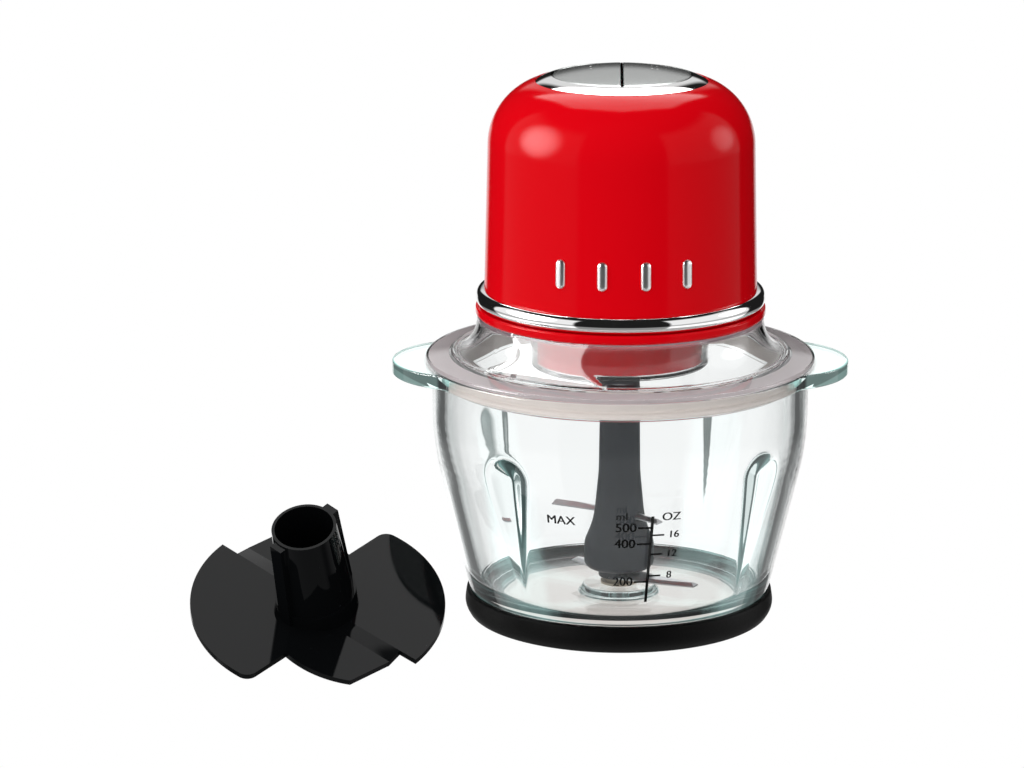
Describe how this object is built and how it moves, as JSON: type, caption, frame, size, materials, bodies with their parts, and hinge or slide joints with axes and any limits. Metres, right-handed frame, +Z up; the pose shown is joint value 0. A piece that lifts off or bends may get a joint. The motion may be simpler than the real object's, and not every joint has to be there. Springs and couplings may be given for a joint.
{
  "type": "electric food chopper",
  "caption": "Mini food chopper: glass bowl on a rubber mat, clear lid, red motor head with push buttons, spinning blades and a spare emulsifying disc beside it.",
  "frame": {"origin": "centre of the underside of the rubber mat, on the blade's axis", "axes": "+Z up along the blade's axis, +X to the right and through one ear of the bowl, -Y out of the front of the head"},
  "size_m": [0.2682, 0.184, 0.23],
  "materials": {
    "mat_rubber": "matt black rubber",
    "bowl_glass": "clear pressed glass",
    "steel": "ground steel",
    "blade_steel": "satin stainless steel",
    "lid_plastic": "clear polished plastic",
    "silicone": "off-white silicone",
    "red_plastic": "glossy red",
    "chrome_plate": "bright chrome plate",
    "button_chrome": "grey satin chrome",
    "hub_plastic": "satin dark grey",
    "disc_plastic": "glossy black",
    "black_nylon": "matt black",
    "white_nylon": "natural white",
    "bronze": "sintered bronze",
    "copper": "enamelled copper",
    "lamination": "stacked sheet steel",
    "carbon": "pressed carbon",
    "board_green": "green lacquer"
  },
  "bodies": {
    "base": {"base_mat": "mat_rubber"},
    "bowl": {"glass_bowl": "bowl_glass", "pivot_pin": "steel"},
    "lid": {"lid": "lid_plastic", "lid_gasket": "silicone"},
    "head": {"head_base": "red_plastic", "dome_housing": "red_plastic", "trim_ring": "chrome_plate", "button_bezel": "chrome_plate", "front_bars": "chrome_plate", "cord_bushing": "mat_rubber", "housing_screws": "steel", "cover_screws": "steel", "ring_gear": "black_nylon", "gearbox_cover": "black_nylon", "output_bush": "bronze", "lower_bearing": "bronze", "upper_bearing": "bronze", "motor_stator": "lamination", "field_coils": "copper", "upper_bracket": "black_nylon", "carbon_brushes": "carbon", "brush_holders": "bronze", "circuit_board": "board_green", "microswitches": "black_nylon", "spring_left": "steel", "spring_right": "steel"},
    "rotor": {"motor_shaft": "steel", "sun_pinion": "steel", "cooling_fan": "black_nylon", "armature_core": "lamination", "armature_windings": "copper", "commutator": "copper"},
    "carrier": {"planet_carrier": "white_nylon", "drive_coupling": "black_nylon"},
    "planet_1": {"planet_gear_1": "white_nylon"},
    "planet_2": {"planet_gear_2": "white_nylon"},
    "planet_3": {"planet_gear_3": "white_nylon"},
    "left_button": {"button_left": "button_chrome"},
    "right_button": {"button_right": "button_chrome"},
    "bush": {"blade_bush": "bronze"},
    "blade": {"blade_hub": "hub_plastic", "upper_blade": "blade_steel", "lower_blade": "blade_steel"},
    "disc": {"emulsifying_disc": "disc_plastic"}
  },
  "joints": [
    {"name": "bowl_lift", "type": "slide", "parent": "base", "child": "bowl", "axis": [0, 0, 1], "range_m": [0, 0.04]},
    {"name": "lid_lift", "type": "slide", "parent": "bowl", "child": "lid", "axis": [0, 0, 1], "range_m": [0, 0.22]},
    {"name": "head_lift", "type": "slide", "parent": "lid", "child": "head", "axis": [0, 0, 1], "range_m": [0, 0.1]},
    {"name": "rotor_spin", "type": "hinge", "parent": "head", "child": "rotor", "pos_m": [0, 0, 0.17], "axis": [0, 0, 1], "continuous": true},
    {"name": "carrier_spin", "type": "hinge", "parent": "head", "child": "carrier", "pos_m": [0, 0, 0.13], "axis": [0, 0, 1], "continuous": true},
    {"name": "planet_1_spin", "type": "hinge", "parent": "carrier", "child": "planet_1", "pos_m": [0.018, 0, 0.1388], "axis": [0, 0, 1], "continuous": true},
    {"name": "planet_2_spin", "type": "hinge", "parent": "carrier", "child": "planet_2", "pos_m": [-0.009, 0.01559, 0.1388], "axis": [0, 0, 1], "continuous": true},
    {"name": "planet_3_spin", "type": "hinge", "parent": "carrier", "child": "planet_3", "pos_m": [-0.009, -0.01559, 0.1388], "axis": [0, 0, 1], "continuous": true},
    {"name": "left_press", "type": "slide", "parent": "head", "child": "left_button", "axis": [0, 0, -1], "range_m": [0, 0.002], "stiffness_N_per_m": 400, "springref_m": -0.0015, "deforming": ["spring_left"]},
    {"name": "right_press", "type": "slide", "parent": "head", "child": "right_button", "axis": [0, 0, -1], "range_m": [0, 0.002], "stiffness_N_per_m": 400, "springref_m": -0.0015, "deforming": ["spring_right"]},
    {"name": "blade_lift", "type": "slide", "parent": "bowl", "child": "bush", "axis": [0, 0, 1], "range_m": [0, 0.12]},
    {"name": "blade_spin", "type": "hinge", "parent": "bush", "child": "blade", "pos_m": [0, 0, 0.06], "axis": [0, 0, 1], "continuous": true},
    {"name": "disc_lift", "type": "slide", "parent": "base", "child": "disc", "axis": [0, 0, 1], "range_m": [0, 0.1]}
  ],
  "couplings": [
    {"joint": "carrier_spin", "follows": "rotor_spin", "ratio": 0.20833},
    {"joint": "blade_spin", "follows": "rotor_spin", "ratio": 0.20833},
    {"joint": "blade_lift", "follows": "lid_lift", "ratio": 0.5},
    {"joint": "planet_1_spin", "follows": "rotor_spin", "ratio": -0.56548},
    {"joint": "planet_2_spin", "follows": "rotor_spin", "ratio": -0.56548},
    {"joint": "planet_3_spin", "follows": "rotor_spin", "ratio": -0.56548}
  ]
}
